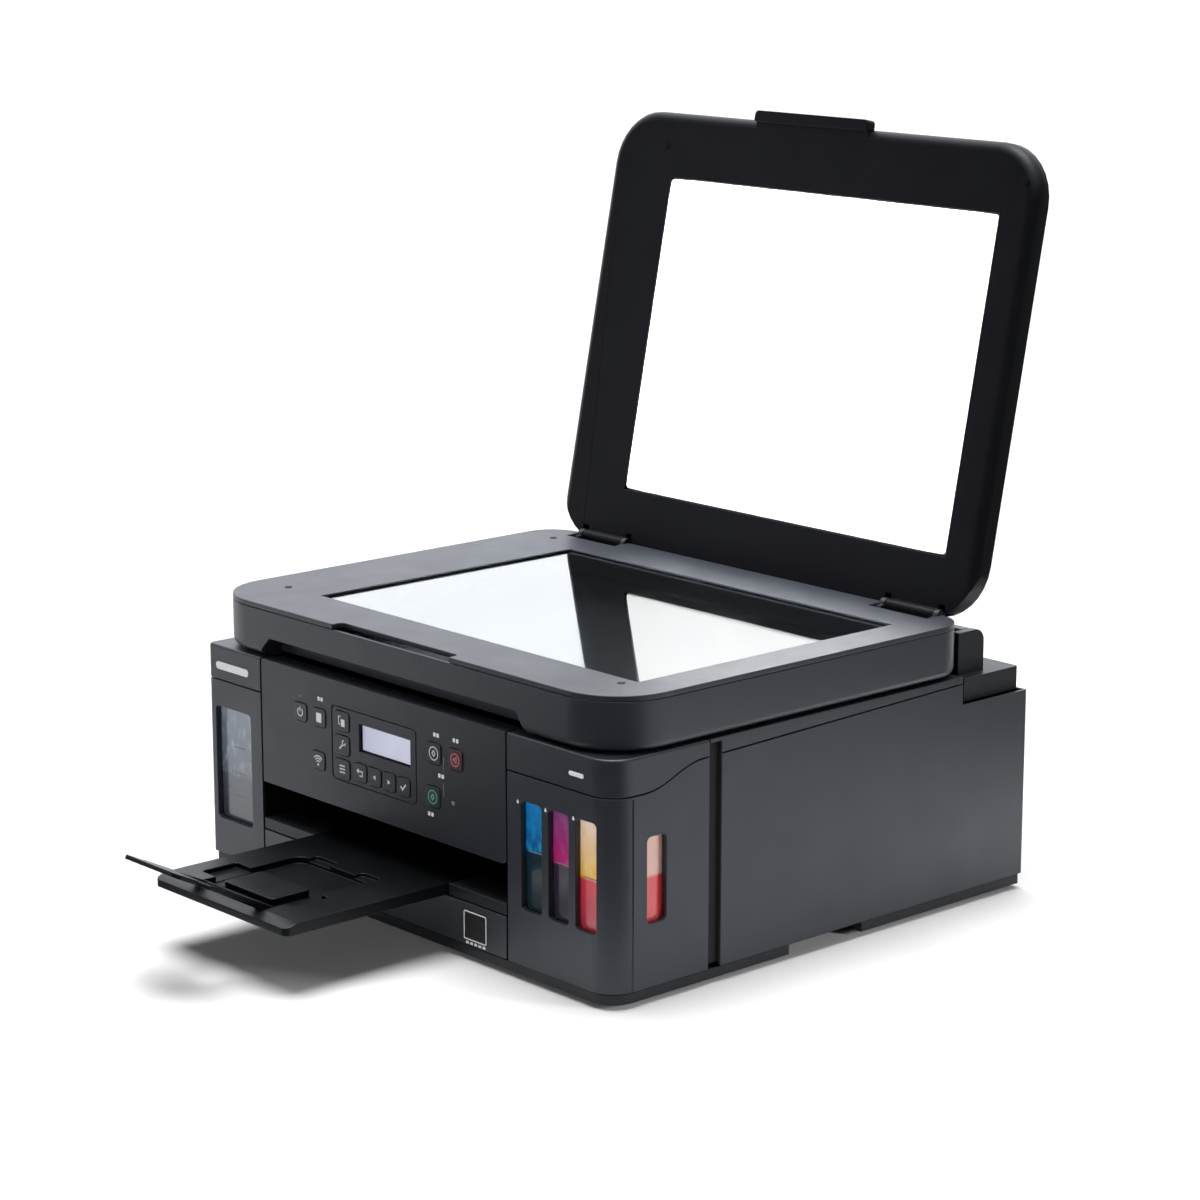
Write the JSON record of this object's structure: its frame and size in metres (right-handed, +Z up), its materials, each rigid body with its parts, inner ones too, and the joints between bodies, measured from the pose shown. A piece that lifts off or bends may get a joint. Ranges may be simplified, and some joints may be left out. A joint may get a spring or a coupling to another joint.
{
  "type": "inkjet printer",
  "caption": "Inkjet printer with refillable ink tanks, a flatbed scanner under a hinged document cover, a tilting control panel, a paper cassette, an output tray and a rear paper tray.",
  "frame": {"origin": "middle of the base of the bounding box at rest, on the table plane", "axes": "+Z up, -Y the front where paper comes out, +X the right side seen from the front"},
  "size_m": [0.404, 0.5598, 0.4975],
  "materials": {
    "shell": "fine matte texture, black",
    "panel": "satin, near-black",
    "lid": "fine matte texture, black",
    "inner": "matte, black",
    "sheet": "matte, white pressing sheet on foam",
    "glass": "polished float glass",
    "steel": "zinc-plated, satin",
    "rubber": "matte, black",
    "keys": null,
    "key_black": "satin, grey mark on black",
    "key_stop": "satin, red mark on black",
    "key_colour": "satin, green mark on black",
    "lcd": "clear window over a pale display",
    "gear": "natural acetal",
    "board": "solder-masked circuit board",
    "ink_black": "translucent tank with black ink",
    "ink_cyan": "translucent tank with cyan ink",
    "ink_magenta": "translucent tank with magenta ink",
    "ink_yellow": "translucent tank with yellow ink"
  },
  "bodies": {
    "housing": {"base_pan": "shell", "right_front_cover": "shell", "right_ink_cover": "shell", "left_front_cover": "shell", "left_ink_cover": "shell", "right_side_cover": "shell", "left_side_cover": "shell", "top_frame": "shell", "rear_cover": "shell", "rear_tray_frame": "shell", "main_frame": "inner", "paper_platen": "inner", "power_supply": "inner", "output_tray_frame": "inner", "carriage_rail": "steel", "carriage_motor": "steel", "foot_front_left": "rubber", "foot_front_right": "rubber", "foot_rear_left": "rubber", "foot_rear_right": "rubber", "carriage_belt": "rubber", "main_board": "board", "ink_tank_black": "ink_black", "ink_tank_cyan": "ink_cyan", "ink_tank_magenta": "ink_magenta", "ink_tank_yellow": "ink_yellow"},
    "operation_panel": {"operation_panel": "panel", "lcd_module": "lcd"},
    "scanner_unit": {"scanner_case": "shell", "scanner_bezel": "shell", "platen_glass": "glass", "lid_hinge_left": "steel", "lid_hinge_right": "steel"},
    "scan_carriage": {"scan_carriage": "inner"},
    "document_cover": {"document_cover": "lid", "cover_sheet": "sheet"},
    "cassette": {"cassette": "inner"},
    "output_tray": {"output_tray": "inner"},
    "output_flap": {"output_flap": "inner"},
    "rear_tray_cover": {"rear_tray_cover": "shell"},
    "paper_guide_left": {"paper_guide_left": "inner"},
    "paper_guide_right": {"paper_guide_right": "inner"},
    "print_carriage": {"print_carriage": "inner"},
    "feed_roller": {"feed_roller": "rubber"},
    "eject_roller": {"eject_roller": "rubber"},
    "idler_gear": {"idler_gear": "gear"},
    "pickup_roller": {"pickup_roller": "rubber"},
    "button_power": {"button_power": "keys"},
    "button_info": {"button_info": "keys"},
    "button_wireless": {"button_wireless": "keys"},
    "button_copy": {"button_copy": "keys"},
    "button_setup": {"button_setup": "keys"},
    "button_menu": {"button_menu": "keys"},
    "button_back": {"button_back": "keys"},
    "button_minus": {"button_minus": "keys"},
    "button_plus": {"button_plus": "keys"},
    "button_ok": {"button_ok": "keys"},
    "button_black_start": {"button_black_start": "key_black"},
    "button_stop": {"button_stop": "key_stop"},
    "button_colour_start": {"button_colour_start": "key_colour"}
  },
  "joints": [
    {"name": "scanner_lift", "type": "hinge", "parent": "housing", "child": "scanner_unit", "pos_m": [0, 0.21064, 0.178], "axis": [-1, 0, 0], "range_deg": [0, 25]},
    {"name": "cover_hinge", "type": "hinge", "parent": "scanner_unit", "child": "document_cover", "pos_m": [0, 0.20494, 0.19], "axis": [1, 0, 0], "range_deg": [0, 101.4]},
    {"name": "scan_travel", "type": "slide", "parent": "scanner_unit", "child": "scan_carriage", "axis": [1, 0, 0], "range_m": [0, 0.33]},
    {"name": "panel_tilt", "type": "hinge", "parent": "housing", "child": "operation_panel", "pos_m": [0, -0.09836, 0.15], "axis": [-1, 0, 0], "range_deg": [0, 45]},
    {"name": "press_power", "type": "slide", "parent": "operation_panel", "child": "button_power", "axis": [0, 1, 0], "range_m": [0, 0.001], "stiffness_N_per_m": 600},
    {"name": "press_info", "type": "slide", "parent": "operation_panel", "child": "button_info", "axis": [0, 1, 0], "range_m": [0, 0.001], "stiffness_N_per_m": 600},
    {"name": "press_wireless", "type": "slide", "parent": "operation_panel", "child": "button_wireless", "axis": [0, 1, 0], "range_m": [0, 0.001], "stiffness_N_per_m": 600},
    {"name": "press_copy", "type": "slide", "parent": "operation_panel", "child": "button_copy", "axis": [0, 1, 0], "range_m": [0, 0.001], "stiffness_N_per_m": 600},
    {"name": "press_setup", "type": "slide", "parent": "operation_panel", "child": "button_setup", "axis": [0, 1, 0], "range_m": [0, 0.001], "stiffness_N_per_m": 600},
    {"name": "press_menu", "type": "slide", "parent": "operation_panel", "child": "button_menu", "axis": [0, 1, 0], "range_m": [0, 0.001], "stiffness_N_per_m": 600},
    {"name": "press_back", "type": "slide", "parent": "operation_panel", "child": "button_back", "axis": [0, 1, 0], "range_m": [0, 0.001], "stiffness_N_per_m": 600},
    {"name": "press_minus", "type": "slide", "parent": "operation_panel", "child": "button_minus", "axis": [0, 1, 0], "range_m": [0, 0.001], "stiffness_N_per_m": 600},
    {"name": "press_plus", "type": "slide", "parent": "operation_panel", "child": "button_plus", "axis": [0, 1, 0], "range_m": [0, 0.001], "stiffness_N_per_m": 600},
    {"name": "press_ok", "type": "slide", "parent": "operation_panel", "child": "button_ok", "axis": [0, 1, 0], "range_m": [0, 0.001], "stiffness_N_per_m": 600},
    {"name": "press_black_start", "type": "slide", "parent": "operation_panel", "child": "button_black_start", "axis": [0, 1, 0], "range_m": [0, 0.001], "stiffness_N_per_m": 600},
    {"name": "press_stop", "type": "slide", "parent": "operation_panel", "child": "button_stop", "axis": [0, 1, 0], "range_m": [0, 0.001], "stiffness_N_per_m": 600},
    {"name": "press_colour_start", "type": "slide", "parent": "operation_panel", "child": "button_colour_start", "axis": [0, 1, 0], "range_m": [0, 0.001], "stiffness_N_per_m": 600},
    {"name": "cassette_pull", "type": "slide", "parent": "housing", "child": "cassette", "axis": [0, -1, 0], "range_m": [0, 0.2]},
    {"name": "tray_push_in", "type": "slide", "parent": "housing", "child": "output_tray", "axis": [0, 1, 0], "range_m": [0, 0.122]},
    {"name": "flap_fold", "type": "hinge", "parent": "output_tray", "child": "output_flap", "pos_m": [0, -0.21336, 0.0441], "axis": [1, 0, 0], "range_deg": [-153, 0]},
    {"name": "rear_cover_hinge", "type": "hinge", "parent": "housing", "child": "rear_tray_cover", "pos_m": [0, 0.23264, 0.155], "axis": [-1, 0, 0], "range_deg": [0, 95]},
    {"name": "guide_left_slide", "type": "slide", "parent": "housing", "child": "paper_guide_left", "axis": [1, 0, 0], "range_m": [0, 0.05]},
    {"name": "guide_right_slide", "type": "slide", "parent": "housing", "child": "paper_guide_right", "axis": [1, 0, 0], "range_m": [-0.05, 0]},
    {"name": "carriage_travel", "type": "slide", "parent": "housing", "child": "print_carriage", "axis": [1, 0, 0], "range_m": [-0.084, 0.084]},
    {"name": "feed_spin", "type": "hinge", "parent": "housing", "child": "feed_roller", "pos_m": [0, 0.09464, 0.072], "axis": [1, 0, 0], "continuous": true},
    {"name": "idler_spin", "type": "hinge", "parent": "housing", "child": "idler_gear", "pos_m": [-0.155, 0.04964, 0.072], "axis": [1, 0, 0], "continuous": true},
    {"name": "eject_spin", "type": "hinge", "parent": "housing", "child": "eject_roller", "pos_m": [0, 0.00464, 0.072], "axis": [1, 0, 0], "continuous": true},
    {"name": "pickup_spin", "type": "hinge", "parent": "housing", "child": "pickup_roller", "pos_m": [-0.018, 0.19764, 0.051], "axis": [1, 0, 0], "continuous": true}
  ],
  "couplings": [
    {"joint": "idler_spin", "follows": "feed_spin", "ratio": -0.8},
    {"joint": "eject_spin", "follows": "feed_spin", "ratio": 1},
    {"joint": "guide_right_slide", "follows": "guide_left_slide", "ratio": -1}
  ]
}
